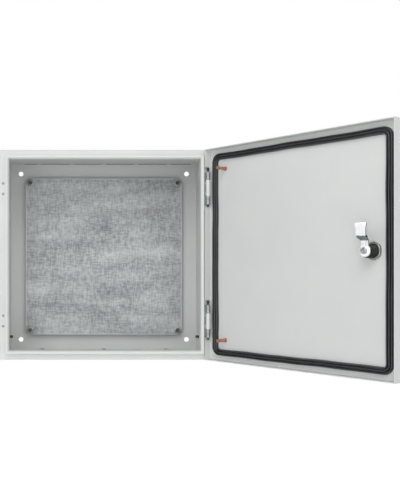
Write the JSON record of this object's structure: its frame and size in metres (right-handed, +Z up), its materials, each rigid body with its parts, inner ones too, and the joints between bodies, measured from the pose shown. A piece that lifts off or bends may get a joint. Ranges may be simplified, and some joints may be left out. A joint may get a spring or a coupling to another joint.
{
  "type": "steel wall enclosure",
  "caption": "Square sheet-steel wall enclosure with a hinged door standing open, a galvanised mounting plate inside, a rubber door seal and a quarter-turn cam lock.",
  "frame": {"origin": "centre of the four wall holes, on the rear face of the back panel", "axes": "+X right seen from the front, towards the hinge side; +Y back into the wall; +Z up"},
  "size_m": [0.6412, 0.5187, 0.403],
  "materials": {
    "powder_coat": "light grey powder coat, fine satin texture",
    "galvanised_sheet": "galvanised, faintly mottled",
    "zinc_plating": "bright zinc plating",
    "copper_plating": "dull copper plating",
    "dark_steel": "dark plain steel",
    "black_rubber": "satin black rubber",
    "black_plastic": "black, satin"
  },
  "bodies": {
    "enclosure": {"body_wrap": "powder_coat", "top_end": "powder_coat", "bottom_end": "powder_coat", "gland_gasket": "black_rubber", "gland_plate": "powder_coat", "gland_screws": "zinc_plating", "gland_nuts": "zinc_plating", "mounting_plate": "galvanised_sheet", "plate_studs": "copper_plating", "plate_spacers": "zinc_plating", "plate_washers": "zinc_plating", "plate_nuts": "zinc_plating", "earth_studs_body": "copper_plating", "hinge_bracket_top": "zinc_plating", "hinge_bracket_bottom": "zinc_plating", "hinge_pin_top": "dark_steel", "hinge_pin_bottom": "dark_steel", "hinge_screws": "zinc_plating", "hinge_hole_plugs": "black_plastic"},
    "door": {"door_panel": "powder_coat", "door_knuckle_top": "powder_coat", "door_knuckle_bottom": "powder_coat", "door_gasket": "black_rubber", "earth_studs_door": "copper_plating", "lock_housing": "black_plastic", "lock_seal": "black_rubber", "lock_nut": "black_plastic"},
    "lock_core": {"lock_core": "zinc_plating", "cam": "zinc_plating", "cam_washer": "zinc_plating", "cam_screw": "zinc_plating"}
  },
  "joints": [
    {"name": "door_hinge", "type": "hinge", "parent": "enclosure", "child": "door", "pos_m": [0.196, -0.1995, 0], "axis": [0, 0, 1], "range_deg": [-127, 3]},
    {"name": "lock_turn", "type": "hinge", "parent": "door", "child": "lock_core", "pos_m": [0.39703, -0.48688, 0], "axis": [0.7986, 0.6018, 0], "range_deg": [0, 90]}
  ]
}
